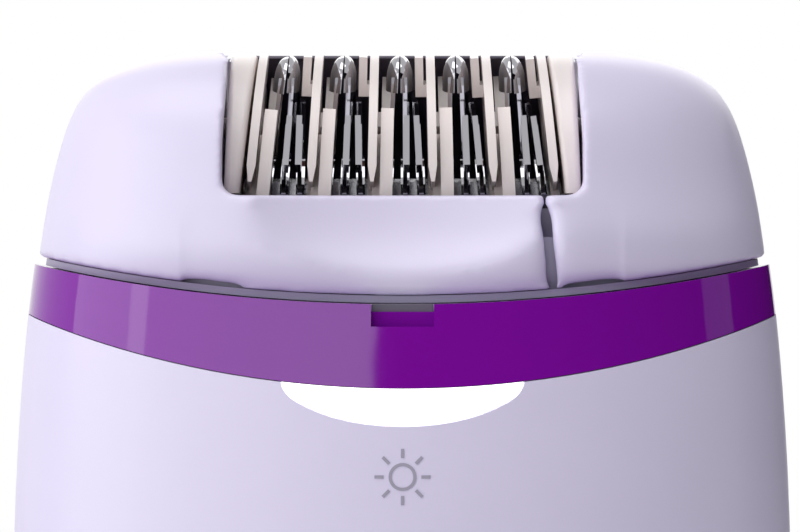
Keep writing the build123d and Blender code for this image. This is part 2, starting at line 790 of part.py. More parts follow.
def body_shells():
    """The moulded body with a ring behind the band, parted into a front and a rear shell."""
    near, deep = SPIGOT
    with BuildPart() as spigot:
        add(body_form(near))
        add(body_form(deep), mode=Mode.SUBTRACT)
        add(between(BAND_TOP, (SHELL_TOP[0] + 2, SHELL_TOP[1] + 2)), mode=Mode.INTERSECT)
    with BuildPart() as shell:
        add(body_outer)
        add(body_cavity(), mode=Mode.SUBTRACT)
        add(between(SHELL_TOP, None), mode=Mode.INTERSECT)
        add(spigot.part)
        with Locations(Location((0, 0, -1))):
            Box(SOCKET[0] + 0.1, SOCKET[1] + 0.1, 6, mode=Mode.SUBTRACT)
    front_half, rear_half = [layer((-5, HEIGHT + 5), FAR, FAR, (0, side * (FAR + SPLIT / 2))) for side in (-1, 1)]
    with BuildPart() as front:
        add(shell.part)
        add(front_half, mode=Mode.INTERSECT)
        add(front_block(lens_outline(FIT)), mode=Mode.SUBTRACT)
        add(switch_track(), mode=Mode.SUBTRACT)
    save(front.part, "front_shell")
    with BuildPart() as rear:
        add(shell.part)
        add(rear_half, mode=Mode.INTERSECT)
        add(button_block(FIT), mode=Mode.SUBTRACT)
        with Locations(*[Location((x, FAR, z_at(depth)), (-90, 0, 0)) for x, depth in POSTS]):
            Cylinder(2.3, 2 * (FAR - 9.0), mode=Mode.SUBTRACT)
            Cylinder(1.1, 2 * FAR, mode=Mode.SUBTRACT)
    save(rear.part, "rear_shell")


def body_cavity():
    """The space inside the body, less the posts for the body screws."""
    with BuildPart() as cavity:
        add(body_inner)
        with Locations(*[Location((x, 0, z_at(depth)), (90, 0, 0)) for x, depth in POSTS]):
            Cylinder(3.4, 2 * FAR, mode=Mode.SUBTRACT)
            Cylinder(0.9, 18)
    return cavity.part


def switch_place(slide=0.0):
    """Axes of the switch's track: Z out of the floor, Y up along it."""
    a = radians(SWITCH_SLOPE)
    y = SWITCH_Y + TRACK[2] - slide * sin(a)
    return Plane(
        origin=(0, y, z_at(SWITCH_DEPTH) + slide * cos(a)),
        x_dir=(1, 0, 0),
        z_dir=(0, -cos(a), -sin(a)),
    )


def switch_track():
    """The switch's recess with rounded ends and the slot through its floor."""
    width, length, _ = TRACK
    with BuildPart() as track:
        with BuildSketch(switch_place()):
            SlotOverall(length, width, rotation=90)
        extrude(amount=5)
        with BuildSketch(switch_place()):
            SlotOverall(SWITCH_TRAVEL + STEM[1] + 0.8, STEM[0] + 0.4, rotation=90)
        extrude(amount=-5)
    return track.part


def slider_knob():
    """The switch's knob: a low cap with grip ribs, and a stem through the slot. It rests at the bottom, off."""
    width, length, height = KNOB
    with BuildPart() as knob:
        with BuildSketch(switch_place(-SWITCH_TRAVEL / 2).offset(0.08)):
            SlotOverall(length, width, rotation=90)
        extrude(amount=height)
        fillet(knob.faces().sort_by(Axis.Y)[0].edges(), 0.35)
        with Locations(switch_place(-SWITCH_TRAVEL / 2).offset(0.08 + height)):
            with GridLocations(0, 1.5, 1, 5):
                Box(width - 2.6, 0.6, 0.5, mode=Mode.SUBTRACT)
        with BuildSketch(switch_place(-SWITCH_TRAVEL / 2).offset(0.08)):
            SlotOverall(STEM[1], STEM[0], rotation=90)
        extrude(amount=-STEM[2])
    save(knob.part, "slider_knob")


def collar_band():
    """The glossy band between head and body, with a catch window in front."""
    half, tall, deep, slot = NOTCH
    top = BAND_TOP[0] - 0.1
    with BuildPart() as band:
        add(body_outer)
        add(body_form(BAND_WALL), mode=Mode.SUBTRACT)
        add(between(BAND_TOP, BAND_BOTTOM), mode=Mode.INTERSECT)
        with Locations((0, -FAR, z_at(top))):
            Box(2 * half, 2 * (FAR - 19.0 + deep), tall, align=(Align.CENTER, Align.CENTER, Align.MAX), mode=Mode.SUBTRACT)
            Box(2 * half, 2 * (FAR - 10.0), slot, align=(Align.CENTER, Align.CENTER, Align.MAX), mode=Mode.SUBTRACT)
    save(band.part, "collar_band")


def light_lens():
    with BuildPart() as lens:
        add(body_outer)
        add(body_form(LENS_WALL), mode=Mode.SUBTRACT)
        add(front_block(lens_outline()), mode=Mode.INTERSECT)
        add(between(SHELL_TOP, None), mode=Mode.INTERSECT)
    save(lens.part, "light_lens")


def button_block(grow=0.0):
    """The release button's outline in the rear, run through the shell."""
    width, tall = BUTTON
    with BuildPart() as block:
        with BuildSketch(Plane.XZ):
            with Locations((0, z_at(BUTTON_DEPTH))):
                SlotOverall(width + 2 * grow, tall + 2 * grow)
        extrude(amount=-FAR)
    return block.part - layer((-20, HEIGHT + 20), FAR, 15.0)


def release_button():
    """The button at the back that frees the head: its face follows the shell and a flange keeps it in."""
    width, tall = BUTTON
    with BuildPart() as button:
        add(body_form(0.05))
        add(button_block(), mode=Mode.INTERSECT)
        add(layer((0, HEIGHT), FAR, BUTTON_BACK), mode=Mode.SUBTRACT)
        with Locations((0, BUTTON_BACK, z_at(BUTTON_DEPTH))):
            Box(width + 3, 1.2, tall + 2.4, align=(Align.CENTER, Align.MAX, Align.CENTER))
        with Locations(*[(0, FAR - 15.1, z_at(BUTTON_DEPTH + k * 1.4)) for k in (-1, 0, 1)]):
            Box(8.0, 2.4, 0.5, mode=Mode.SUBTRACT)
    save(button.part, "release_button")


def release_spring():
    """The coil spring that pushes the release button out."""
    with BuildPart() as spring:
        with BuildLine() as coil:
            Helix(pitch=1.0, height=SPRING_Y[1] - SPRING_Y[0] - 0.6, radius=1.5)
        with BuildSketch(Plane(origin=coil.line @ 0, z_dir=coil.line % 0)):
            Circle(0.22)
        sweep(is_frenet=True)
    save(Location((0, SPRING_Y[1] - 0.3, z_at(BUTTON_DEPTH)), (90, 0, 0)) * spring.part, "release_spring")


# ================================================================ chassis and drive in the body
def chassis():
    """The plate under the head with the walls that carry the gears, the motor and the light."""
    plate_top, plate_bottom = PLATE
    with BuildPart() as frame:
        add(body_form(WALL + 1.0 + 2 * FIT))
        add(layer(PLATE), mode=Mode.INTERSECT)
        add(wall_across(INNER_WALL, 11.0, (plate_top, MOTOR_DEPTH + 11.0)))
        add(wall_across(MIDDLE_WALL, 4.0, (TRANSFER_DEPTH - 2.0, plate_bottom + 3.0)))
        add(wall_across(OUTER_WALL, 4.0, (TRANSFER_DEPTH - 2.0, OUTPUT_DEPTH + 3.0)))
        add(layer((plate_bottom, 39.0), 5.0, 0.6, (0, 11.2)))
        add(layer((plate_bottom, 33.2), 8.0, 0.6, (0, -13.4)))
        for x, half_width, half_length in ((GEAR_X, 1.5, 7.0), (WHEEL_X, 1.3, 4.2)):
            add(layer((plate_top - 1, plate_bottom + 1), half_width, half_length, (x, 0)), mode=Mode.SUBTRACT)
        add(layer((plate_top - 1, plate_bottom + 1), 4.4, 1.1, (0, 13.8)), mode=Mode.SUBTRACT)
        add(across((MIDDLE_WALL[0] - 1, OUTER_WALL[1] + 1), PIN_R, TRANSFER_DEPTH), mode=Mode.SUBTRACT)
        add(across((INNER_WALL[0] - 1, OUTER_WALL[1] + 1), BUSH_R, OUTPUT_DEPTH), mode=Mode.SUBTRACT)
        add(across((INNER_WALL[0] - 1, INNER_WALL[1] + 1), 3.1, MOTOR_DEPTH), mode=Mode.SUBTRACT)
        edges = frame.edges().filter_by(Axis.X).group_by(Axis.Z)[0]
        fillet(edges, 4.0)
    save(frame.part, "chassis")


def motor():
    """A can motor lying along X: flattened can, front boss, rear cap with two terminals."""
    with BuildPart() as can:
        with BuildSketch(Plane.YZ.offset(MOTOR_BACK)):
            with Locations((0, z_at(MOTOR_DEPTH))):
                Circle(MOTOR_R)
                Rectangle(19.0, 2 * MOTOR_R, mode=Mode.INTERSECT)
        extrude(amount=MOTOR_FACE - MOTOR_BACK - 0.1)
        fillet(can.faces().sort_by(Axis.X)[-1].edges(), 0.8)
        add(across((MOTOR_FACE - 0.5, MOTOR_FACE + 1.0), 3.0, MOTOR_DEPTH))
        add(across((MOTOR_BACK - 1.6, MOTOR_BACK + 0.5), 5.0, MOTOR_DEPTH))
        with Locations(*[(MOTOR_BACK - 1.2, 0, z_at(MOTOR_DEPTH + k * 7.5)) for k in (-1, 1)]):
            Box(2.6, 2.0, 0.5)
        add(across((MOTOR_BACK - 2, MOTOR_FACE + 2), MOTOR_SHAFT_R + RUNNING, MOTOR_DEPTH), mode=Mode.SUBTRACT)
    save(can.part, "motor")


def shafts():
    save(across((MOTOR_BACK + 2, WHEEL_X + WHEEL_W / 2 + 0.8), MOTOR_SHAFT_R, MOTOR_DEPTH), "motor_shaft")
    save(across((INNER_WALL[0], OUTER_WALL[1]), PIN_R, OUTPUT_DEPTH), "cross_shaft")
    save(across((MIDDLE_WALL[0], OUTER_WALL[1]), PIN_R - 0.005, TRANSFER_DEPTH), "transfer_pin")
    bushes([INNER_WALL, OUTER_WALL], PIN_R + RUNNING, BUSH_R - 0.005, OUTPUT_DEPTH, "shaft_bushes")
    ears = [(-EAR[1], -EAR[0]), EAR]
    bushes(ears, JOURNAL_R + RUNNING, BUSH_R - 0.005, AXLE_DEPTH, "axle_bushes")


# ================================================================ electrics
def light_unit():
    """The lamp board behind the lens and its two chip lamps."""
    with BuildPart() as board:
        add(layer((28.8, 33.0), 7.5, 0.5, (0, -14.6)))
        fillet(board.edges().filter_by(Axis.Y), 0.6)
    save(board.part, "light_board")
    with BuildPart() as lamps:
        with Locations(*[(side * 3.6, -15.1, z_at(30.4)) for side in (-1, 1)]):
            Box(3.0, 1.0, 2.4, align=(Align.CENTER, Align.MAX, Align.CENTER))
        with Locations(*[(side * 3.6, -16.1, z_at(30.4)) for side in (-1, 1)]):
            Cylinder(0.9, 1.4, rotation=(90, 0, 0))
    save(lamps.part, "light_leds")


def control_board():
    top, bottom = BOARD_DEPTHS
    with BuildPart() as board:
        add(layer(BOARD_DEPTHS, 11.0, BOARD_T / 2, (0, BOARD_Y)))
        fillet(board.edges().filter_by(Axis.Y), 1.0)
        with Locations(Location((-5.5, BOARD_Y + 3.0, z_at(bottom - 8)), (90, 0, 0))):
            Cylinder(3.0, 5.5)
        with Locations((4.5, BOARD_Y + 1.6, z_at(bottom - 9))):
            Box(6.0, 2.0, 5.0)
        with Locations(*[(-6 + 4 * k, BOARD_Y + 1.3, z_at(top + 6)) for k in range(4)]):
            Box(2.4, 1.4, 1.4)
    save(board.part, "control_board")
    with BuildPart() as switch:
        with Locations((0, BOARD_Y - BOARD_T / 2, z_at(SWITCH_DEPTH))):
            Box(7.0, 4.6, 16.0, align=(Align.CENTER, Align.MAX, Align.CENTER))
        with Locations((0, BOARD_Y - BOARD_T / 2 - 4.6, z_at(SWITCH_DEPTH))):
            Box(STEM[0] + 0.8, 4.0, SWITCH_TRAVEL + STEM[1] + 1.2, mode=Mode.SUBTRACT)
    save(switch.part, "slide_switch")


def inlet():
    """The mains inlet in the base: an oval recess with two pins, for a plug-in cord."""
    width, deep, tall = INLET
    radius, apart, length = INLET_PIN
    with BuildPart() as socket:
        with Locations((0, 0, 0.3)):
            Box(SOCKET[0], SOCKET[1], tall + 3.0, align=(Align.CENTER, Align.CENTER, Align.MIN))
        fillet(socket.edges().filter_by(Axis.Z), 1.0)
        with Locations((0, 0, WALL + 0.4)):
            Box(SOCKET[0] + 2.4, SOCKET[1] + 2.4, 1.4, align=(Align.CENTER, Align.CENTER, Align.MIN))
        with BuildSketch(Plane.XY):
            SlotOverall(width, deep)
        extrude(amount=tall, mode=Mode.SUBTRACT)
        with Locations((-apart, 0, 0), (apart, 0, 0)):
            Cylinder(PIN_FOOT + 0.005, 40, mode=Mode.SUBTRACT)
    save(socket.part, "inlet_socket")
    with BuildPart() as pins:
        with Locations((-apart, 0, tall - length), (apart, 0, tall - length)):
            Cylinder(radius, length, align=(Align.CENTER, Align.CENTER, Align.MIN))
        chamfer(pins.edges().group_by(Axis.Z)[0], 0.25)
        with Locations((-apart, 0, tall), (apart, 0, tall)):
            Cylinder(PIN_FOOT, 6.5, align=(Align.CENTER, Align.CENTER, Align.MIN))
    save(pins.part, "inlet_pins")


def wire(points, radius=0.55):
    with BuildPart() as lead:
        with BuildLine() as path:
            Spline(*points)
        with BuildSketch(Plane(origin=path.line @ 0, z_dir=path.line % 0)):
            Circle(radius)
        sweep()
    return lead.part


def wiring():
    """The leads from the motor's terminals and from the inlet pins to the control board."""
    top, bottom = BOARD_DEPTHS
    behind = BOARD_Y + BOARD_T / 2 + 0.95
    terminal = MOTOR_BACK - 3.35
    with BuildPart() as leads:
        add(wire([
            (terminal, 0, z_at(MOTOR_DEPTH - 7.5)),
            (terminal, -5.0, z_at(MOTOR_DEPTH + 1.0)),
            (MOTOR_BACK - 1.1, -8.0, z_at(top - 5.5)),
            (-6.8, behind, z_at(top + 0.8)),
        ]))
        add(wire([
            (terminal, 0, z_at(MOTOR_DEPTH + 7.5)),
            (terminal + 0.3, -4.0, z_at(MOTOR_DEPTH + 7.3)),
            (MOTOR_BACK + 0.3, -6.4, z_at(top - 2.4)),
            (-9.2, behind, z_at(top + 3.5)),
        ]))
    save(leads.part, "motor_leads")
    with BuildPart() as leads:
        for k in (-1, 1):
            start = (k * INLET_PIN[1], 0, INLET[2] + 7.2)
            end = (k * 3.0, behind, z_at(bottom - 2.0))
            add(wire([start, (k * 2.6, -3.5, (start[2] + end[2]) / 2), end]))
    save(leads.part, "inlet_leads")


def body_screws():
    with BuildPart() as screws:
        for x, depth in POSTS:
            add(Location((x, 9.1, z_at(depth)), (-90, 0, 0)) * screw(16.0, 2.1, 0.85))
    save(screws.part, "body_screws")


# ================================================================ everything
def main():
    os.makedirs("parts", exist_ok=True)
    head_shells()
    head_frame()
    end_plates()
    disc_pack()
    rotor_shaft()
    gears()
    shafts()
    head_screws()
    body_shells()
    collar_band()
    light_lens()
    release_button()
    release_spring()
    slider_knob()
    chassis()
    motor()
    light_unit()
    control_board()
    inlet()
    wiring()
    body_screws()


main()
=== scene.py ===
"""Looks and stage for the epilator: moulded, polished and printed finishes, and soft studio light."""

import json
import math

import bpy
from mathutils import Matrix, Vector


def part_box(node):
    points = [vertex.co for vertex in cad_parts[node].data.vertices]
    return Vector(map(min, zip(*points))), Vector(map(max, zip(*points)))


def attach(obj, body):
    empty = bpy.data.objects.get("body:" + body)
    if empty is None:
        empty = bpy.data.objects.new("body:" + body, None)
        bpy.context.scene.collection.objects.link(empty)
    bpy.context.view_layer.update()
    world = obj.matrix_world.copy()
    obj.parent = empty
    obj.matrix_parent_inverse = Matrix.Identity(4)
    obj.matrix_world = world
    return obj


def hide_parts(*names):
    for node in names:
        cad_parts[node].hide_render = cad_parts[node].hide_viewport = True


bl_info = {
    "name": "Epilator looks",
    "version": (1, 0, 0),
    "blender": (4, 5, 0),
    "location": "3D View > Sidebar > Epilator",
    "description": "Finishes, printed marks and studio stage for the epilator",
    "category": "Object",
}

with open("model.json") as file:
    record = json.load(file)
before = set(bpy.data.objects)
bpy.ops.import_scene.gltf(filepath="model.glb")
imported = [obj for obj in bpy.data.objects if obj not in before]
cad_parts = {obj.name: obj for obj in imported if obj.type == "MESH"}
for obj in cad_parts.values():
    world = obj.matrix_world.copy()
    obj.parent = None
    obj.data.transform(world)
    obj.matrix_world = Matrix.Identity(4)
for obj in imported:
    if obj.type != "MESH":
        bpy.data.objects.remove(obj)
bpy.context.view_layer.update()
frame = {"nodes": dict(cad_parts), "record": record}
NODES = frame["nodes"]
MM = 0.001

# Lengths are in millimetres where no unit is given.
INK = 0.05  # thickness of the printed ink
DRAW_GAP = 2  # how far in front of the shell a mark is drawn before it is laid on
SUN_RISE = -16.85  # height of the sun's middle above the top of the front shell
# the sun's ring and rays as shares of its diameter: inner and outer radius, ray's middle, width and length
RING_INNER, RING_OUTER, RAY_OUT, RAY_WIDTH, RAY_LENGTH = 0.385, 0.5, 0.84, 0.12, 0.33
RAYS = 8
SIGN_SIZE, SIGN_PITCH, SIGN_GAP = 2.4, 4, 3.2  # height, spacing and distance from the knob of 0, I and II

# The head's shells are remeshed and smoothed, which rounds their edges as a moulding tool would.
VOXEL = 0.26  # cell of the remesh
EASE_STEPS = 14  # rounds of smoothing, which give edges a radius of about half a millimetre
SCOOP_STEPS = 160  # rounds that blend the scoop's rim into the skin around it
SCOOP_HALF, SCOOP_TOP, SCOOP_FOOT, SCOOP_SKIN = 18, 12.8, 19.5, 6  # half width, span below the top, depth

# the pocket behind the catch slot: width, height, thickness, edge radius
POCKET_WIDTH, POCKET_HEIGHT, POCKET_WALL, POCKET_EDGE = 5.0, 0.85, 0.3, 0.06
POCKET_DROP, POCKET_BACK = 2.9, 2.0  # place below the spigot's top and behind the band's front

# the guard behind the discs: half width, radius, nearest place behind the axle, lowest place below it
GUARD_HALF, GUARD_RADIUS, GUARD_FRONT, GUARD_DROP = 14.1, 12.25, 3.6, 0.8
GUARD_WALL, GUARD_EDGE = 0.28, 0.08

# The camera looks level at the head, from its front. Its place and the width that it sees are in metres.
CAMERA_PLACE = (-0.0002, -0.6, 0.11725)
SEEN_WIDTH = 0.0667
SENSOR = 36  # width of the sensor in mm

FLOOR_SIDE = 4  # side of the floor in metres
FILL_STRENGTH, WHITE_STRENGTH = 0.36, 1.0  # the world's even light, and the white that is seen


# ---------------------------------------------------------------- materials
MOTTLE = 9  # size of the broad patches in a moulded surface
LENS_CLOUD = 4  # size of the brighter patches in the lit lens


def linear(hex_colour):
    """An sRGB hex colour as linear RGBA."""
    parts = [int(hex_colour[i : i + 2], 16) / 255 for i in (1, 3, 5)]
    return (*[c / 12.92 if c <= 0.04045 else ((c + 0.055) / 1.055) ** 2.4 for c in parts], 1.0)


def add_node(tree, kind, links=(), **values):
    """A shader node with its properties and sockets set. links are (output, input name) pairs."""
    node = tree.nodes.new(kind)
    for key, value in values.items():
        name = key.replace("_", " ")
        if name in node.inputs:
            node.inputs[name].default_value = value
        else:
            setattr(node, key, value)
    for output, name in links:
        tree.links.new(output, node.inputs[name])
    return node


def moulded(name, colour, roughness, grain_mm, grain_height, mottle=0.02, **shader):
    """A surface with a fine grain in its height and a faint, broad variation in its colour and roughness."""
    material = bpy.data.materials.new(name)
    material.use_nodes = True
    tree = material.node_tree
    tree.nodes.clear()
    place = add_node(tree, "ShaderNodeTexCoord").outputs["Object"]
    grain = add_node(tree, "ShaderNodeTexNoise", [(place, "Vector")], Scale=1 / (grain_mm * MM), Detail=2.0)
    broad = add_node(tree, "ShaderNodeTexNoise", [(place, "Vector")], Scale=1 / (MOTTLE * MM), Detail=3.0)
    base = linear(colour)
    low = tuple(c * (1 - mottle) for c in base[:3]) + (1.0,)
    high = tuple(min(1.0, c * (1 + mottle)) for c in base[:3]) + (1.0,)
    shade = add_node(tree, "ShaderNodeMix", [(broad.outputs["Fac"], "Factor")], data_type="RGBA")
    shade.inputs[6].default_value = low
    shade.inputs[7].default_value = high
    rough = add_node(
        tree,
        "ShaderNodeMapRange",
        [(broad.outputs["Fac"], "Value")],
        To_Min=roughness * 0.9,
        To_Max=roughness * 1.1,
    )
    bump = add_node(
        tree,
        "ShaderNodeBump",
        [(grain.outputs["Fac"], "Height")],
        Strength=1.0,
        Distance=grain_height * MM,
    )
    surface = add_node(
        tree,
        "ShaderNodeBsdfPrincipled",
        [
            (shade.outputs[2], "Base Color"),
            (rough.outputs["Result"], "Roughness"),
            (bump.outputs["Normal"], "Normal"),
        ],
    )
    for socket, value in shader.items():
        surface.inputs[socket.replace("_", " ")].default_value = value
    add_node(tree, "ShaderNodeOutputMaterial", [(surface.outputs["BSDF"], "Surface")])
    return material


def glowing_lens(name, colour, strength):
    """White acrylic lit from behind, whose glow hides its form and varies a little in faint clouds."""
    material = bpy.data.materials.new(name)
    material.use_nodes = True
    tree = material.node_tree
    tree.nodes.clear()
    place = add_node(tree, "ShaderNodeTexCoord").outputs["Object"]
    cloud = add_node(tree, "ShaderNodeTexNoise", [(place, "Vector")], Scale=1 / (LENS_CLOUD * MM), Detail=2.0)
    level = add_node(
        tree,
        "ShaderNodeMapRange",
        [(cloud.outputs["Fac"], "Value")],
        To_Min=strength * 0.9,
        To_Max=strength * 1.1,
    )
    surface = add_node(
        tree,
        "ShaderNodeBsdfPrincipled",
        [(level.outputs["Result"], "Emission Strength")],
        Base_Color=linear("#FFFFFF"),
        Roughness=0.15,
        Emission_Color=linear(colour),
    )
    add_node(tree, "ShaderNodeOutputMaterial", [(surface.outputs["BSDF"], "Surface")])
    return material


# Each of the record's material slots has a material name, colour, roughness, grain, grain height and other
# sockets. Real grain is too fine to show, so each is drawn as coarse as it needs to be.
FINISHES = {
    # ABS moulded in a spark-eroded tool: pale lilac, with soft broad highlights and no sharp reflection
    "lilac_plastic": ("satin_lilac_abs", "#D9D2EA", 0.36, 0.16, 0.004, {}),
    # acrylic moulded in a mirror-polished tool: deep purple that mirrors the lamps with sharp edges
    "gloss_purple": ("gloss_purple_acrylic", "#7A0C98", 0.06, 3.0, 0.002, {"Specular_IOR_Level": 0.5}),
    # ABS under a clear lacquer: the same purple, with a bright thin highlight on every rib
    "knob_plastic": (
        "gloss_purple_abs",
        "#6C0C86",
        0.12,
        1.0,
        0.002,
        {"Coat_Weight": 0.5, "Coat_Roughness": 0.05},
    ),
    # moulded acetal: warm cream, waxy, as a little light passes into its thin edges
    "cream_plastic": ("satin_cream_acetal", "#E9DDD9", 0.33, 0.3, 0.003, {"Subsurface_Weight": 0.08}),
    # stainless steel, tumbled and polished: mirrors the dark window and the white lamps in hard contrast
    "polished_steel": ("polished_stainless_steel", "#A6A5AA", 0.06, 0.5, 0.0006, {"Metallic": 1.0}),
    # steel shafts ground round: a blurred highlight
    "turned_steel": ("ground_steel", "#B4B4B8", 0.22, 0.12, 0.001, {"Metallic": 1.0}),
    # ABS from an eroded tool: a grey-violet that is partly the frame's own tone and partly painted shade,
    # darker than the shell so that it sets the head's base back from its shell
    "frame_plastic": ("grey_violet_abs_with_neck_shade", "#A9A4B8", 0.4, 0.16, 0.004, {}),
    # carbon-filled ABS: near black and dull, as inner parts are
    "chassis_plastic": ("matt_black_abs", "#232327", 0.5, 0.2, 0.006, {}),
    # uncoloured acetal: off-white and slightly waxy
    "gear_plastic": ("natural_acetal", "#E9E7DC", 0.38, 0.2, 0.003, {}),
    # brass turned on a lathe: yellow metal with a fairly sharp highlight
    "brass": ("turned_brass", "#C8A050", 0.2, 0.15, 0.001, {"Metallic": 1.0}),
    # bronze pressed from powder: brown and dull, from its pores
    "bronze": ("sintered_bronze", "#9A6A3C", 0.4, 0.08, 0.004, {"Metallic": 1.0}),
    # glass-fibre board under solder mask: dark green and glassy
    "board_green": ("solder_masked_board", "#14502B", 0.25, 0.5, 0.002, {}),
    # phosphor over a lamp chip: pale yellow
    "lamp_white": ("phosphor_chip_lamp", "#F3EFC4", 0.3, 0.3, 0.002, {}),
    # drawn steel with zinc plating: cool grey with a blurred highlight
    "motor_can": ("zinc_plated_can", "#B9BCC0", 0.28, 0.3, 0.001, {"Metallic": 1.0}),
    # cold-headed steel with zinc plating: a little darker than the motor's can
    "screw_steel": ("zinc_plated_screw", "#A9ABAF", 0.3, 0.1, 0.001, {"Metallic": 1.0}),
    # ABS, smooth from its tool: a dark violet-grey that is painted shade, so that the gaps between the discs
    # and the catch slot read as deep and shaded
    "guard": ("painted_shade_violet_abs", "#5E5868", 0.35, 0.2, 0.003, {}),
    # extruded PVC: soft red with no sharp highlight
    "wire_cover": ("red_pvc_cover", "#8C1818", 0.45, 0.3, 0.003, {}),
}


def finish(slot):
    """The finish of one of the record's material slots, made once."""
    name, colour, roughness, grain, height, more = FINISHES[slot]
    looks = bpy.context.scene.epilator_looks
    if slot == "lilac_plastic":
        colour = "#" + "".join(f"{round(255 * c):02X}" for c in looks.shell_colour)
    if name in bpy.data.materials:
        return bpy.data.materials[name]
    return moulded(name, colour, roughness, grain, height, **more)


def ink_finish():
    """Pad-printing ink: matt grey-violet, a little darker than the shell it is on."""
    if "grey_violet_ink" in bpy.data.materials:
        return bpy.data.materials["grey_violet_ink"]
    return moulded("grey_violet_ink", "#9D99AA", 0.5, 0.2, 0.002)


def paint(obj, material):
    """Gives an object one material in place of any others."""
    obj.data.materials.clear()
    obj.data.materials.append(material)


# lamp: name, place, aim, width and height in metres, radiance
LAMPS = (
    ("softbox_front_left", (-0.64, -0.8, 0.16), (-0.64, 0, 0.16), (1.2, 0.8), 1.3),
    ("softbox_left", (-0.62, -0.22, 0.3), (0, 0, 0.11), (0.5, 0.6), 1.75),
    ("softbox_top", (-0.1, -0.12, 0.7), (0, 0, 0.11), (0.6, 0.4), 2.6),
    ("strip_right", (0.62, -0.08, 0.2), (0, 0, 0.11), (0.22, 0.6), 0.4),
    ("softbox_back", (0.1, 0.6, 0.4), (0, 0, 0.11), (0.6, 0.4), 1.2),
)
# black card: name, place, turn about the vertical, width and height in metres
FLAGS = (
    ("black_card_front", (0.66, -0.8, 0.16), 0, (1.4, 0.8)),
    ("black_card_right", (1.36, -0.1, 0.16), math.pi / 2, (1.4, 0.8)),
    ("black_card_back", (0.85, 0.95, 0.16), -0.73, (1.2, 0.8)),
)


# ---------------------------------------------------------------- settings
class EpilatorLooks(bpy.types.PropertyGroup):
    shell_colour: bpy.props.FloatVectorProperty(
        name="Shell colour",
        description="Display colour of the moulded shells",
        subtype="COLOR_GAMMA",
        size=3,
        min=0,
        max=1,
        default=(0.851, 0.824, 0.918),
    )
    lamp_strength: bpy.props.FloatProperty(
        name="Lamp strength", description="Brightness of the glowing lens", min=0, default=1.6
    )
    mark_size: bpy.props.FloatProperty(
        name="Sun size",
        description="Outer diameter of the printed sun's ring",
        subtype="DISTANCE",
        unit="LENGTH",
        default=2.25 * MM,
    )


# ---------------------------------------------------------------- printed marks
def deselect():
    """Leaves edit mode and selects nothing."""
    if bpy.context.mode != "OBJECT":
        bpy.ops.object.mode_set(mode="OBJECT")
    bpy.ops.object.select_all(action="DESELECT")


def join(pieces, name):
    """Joins the pieces into the first one and names it."""
    deselect()
    for piece in pieces:
        piece.select_set(True)
    bpy.context.view_layer.objects.active = pieces[0]
    bpy.ops.object.join()
    pieces[0].name = name
    return pieces[0]


def print_on(mark, shell, ink):
    """Lays a flat mark, drawn in front of a shell, onto its surface as a thin film of ink."""
    deselect()
    mark.select_set(True)
    bpy.context.view_layer.objects.active = mark
    bpy.ops.object.transform_apply(location=True, rotation=True, scale=True)
    bpy.ops.object.mode_set(mode="EDIT")
    bpy.ops.mesh.select_all(action="SELECT")
    bpy.ops.mesh.quads_convert_to_tris()
    bpy.ops.mesh.subdivide(number_cuts=1)
    bpy.ops.object.mode_set(mode="OBJECT")
    wrap = mark.modifiers.new("wrap", "SHRINKWRAP")
    wrap.target = shell
    wrap.wrap_method = "PROJECT"
    wrap.use_project_y = True
    wrap.use_positive_direction = True
    wrap.offset = INK * MM / 2
    bpy.ops.object.modifier_apply(modifier="wrap")
    film = mark.modifiers.new("film", "SOLIDIFY")
    film.thickness = INK * MM
    film.offset = 0
    bpy.ops.object.modifier_apply(modifier="film")
    bpy.ops.object.mode_set(mode="EDIT")
    bpy.ops.mesh.select_all(action="SELECT")
    bpy.ops.mesh.normals_make_consistent(inside=False)
    bpy.ops.object.mode_set(mode="OBJECT")
    paint(mark, ink)
    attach(mark, "handle")


def ring(centre, inner, outer):
    """A flat ring facing the front."""
    deselect()
    bpy.ops.mesh.primitive_circle_add(
        vertices=48, radius=outer, fill_type="NGON", location=centre, rotation=(math.pi / 2, 0, 0)
    )
    bpy.ops.object.mode_set(mode="EDIT")
    bpy.ops.mesh.select_all(action="SELECT")
    bpy.ops.mesh.inset(thickness=outer - inner)
    bpy.ops.mesh.delete(type="FACE")
    bpy.ops.object.mode_set(mode="OBJECT")
    return bpy.context.object


def bar(centre, width, height, turn):
    """A flat bar facing the front, turned clockwise about its middle."""
    deselect()
    bpy.ops.mesh.primitive_plane_add(size=1, location=centre, rotation=(math.pi / 2, turn, 0))
    piece = bpy.context.object
    piece.scale = (width, height, 1)
    return piece


# ---------------------------------------------------------------- operators
class EPILATOR_OT_sun_mark(bpy.types.Operator):
    """Prints the sun below the lens: a ring with eight rays"""

    bl_idname = "epilator.sun_mark"
    bl_label = "Print the sun"

    def execute(self, context):
        size = context.scene.epilator_looks.mark_size
        low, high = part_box("front_shell")
        height = high[2] + SUN_RISE * MM
        front = low[1] - DRAW_GAP * MM
        pieces = [ring((0, front, height), RING_INNER * size, RING_OUTER * size)]
        for k in range(RAYS):
            turn = math.radians(360 / RAYS * k)
            out = RAY_OUT * size
            place = (out * math.sin(turn), front, height + out * math.cos(turn))
            pieces.append(bar(place, RAY_WIDTH * size, RAY_LENGTH * size, turn))
        print_on(join(pieces, "sun_mark"), NODES["front_shell"], ink_finish())
        return {"FINISHED"}


